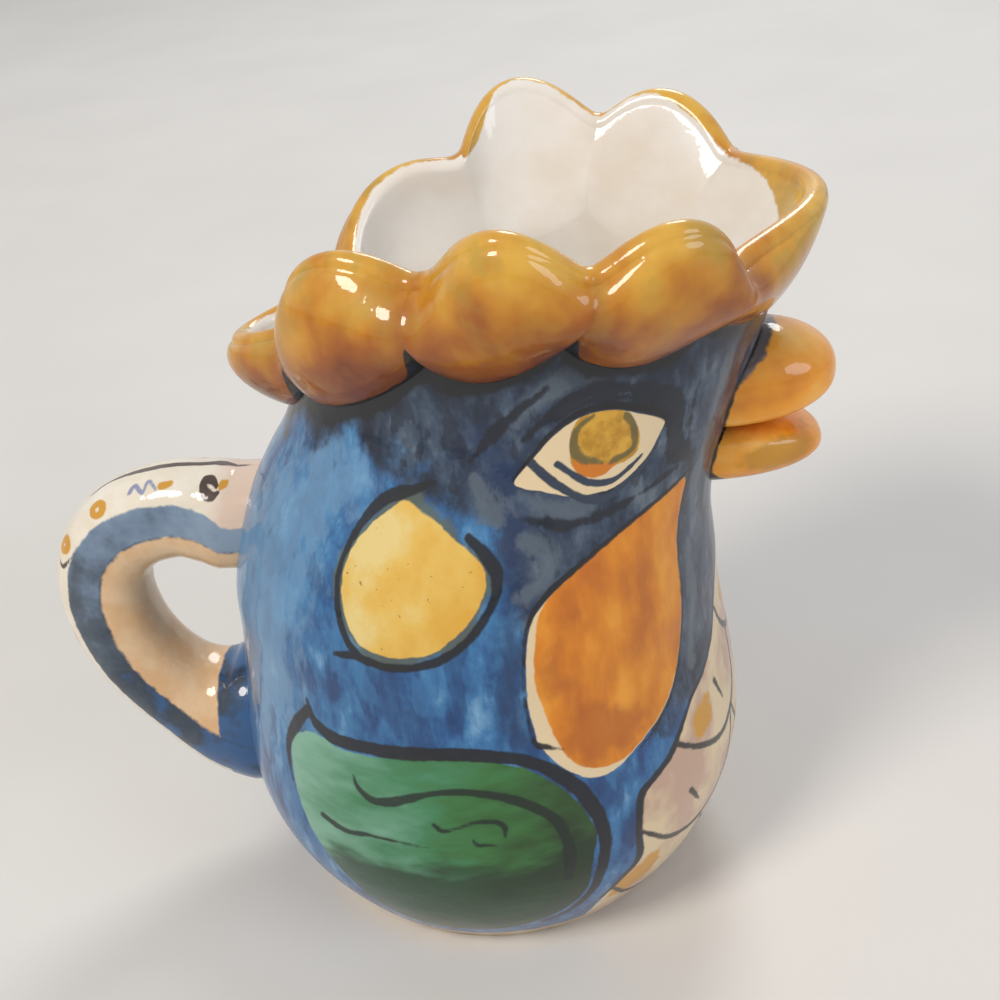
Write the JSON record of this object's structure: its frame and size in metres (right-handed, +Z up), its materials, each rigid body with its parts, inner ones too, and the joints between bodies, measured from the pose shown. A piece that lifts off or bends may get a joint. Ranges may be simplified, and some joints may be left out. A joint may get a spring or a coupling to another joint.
{
  "type": "rooster pitcher",
  "caption": "Glazed clay jug in the shape of a rooster: the scalloped comb is the rim, the beak sits under the pouring lip, and a thick loop handle runs from nape to belly.",
  "frame": {"origin": "middle of the foot, on the table", "axes": "+Z up; +X the way the bird looks and the jug pours, so the handle is at -X; +Y towards the bird's left side"},
  "size_m": [0.1544, 0.0996, 0.1487],
  "materials": {
    "bare_clay": "unglazed buff clay, wiped at the foot",
    "blue_glaze": "clear gloss over brushed blue underglaze paint",
    "comb_glaze": "clear gloss over orange and ochre brush strokes, white inside",
    "beak_glaze": "clear gloss over orange underglaze paint",
    "handle_glaze": "clear gloss over cream with a blue band and small ochre rings"
  },
  "bodies": {
    "root": {"foot_ring": "bare_clay", "belly": "blue_glaze", "head_wall": "blue_glaze", "spout_lip": "comb_glaze", "tail_lobe": "comb_glaze", "comb_left_front": "comb_glaze", "comb_left_middle": "comb_glaze", "comb_left_rear": "comb_glaze", "comb_right_rear": "comb_glaze", "comb_right_middle": "comb_glaze", "comb_right_front": "comb_glaze", "upper_beak": "beak_glaze", "lower_beak": "beak_glaze", "handle": "handle_glaze"}
  },
  "joints": []
}
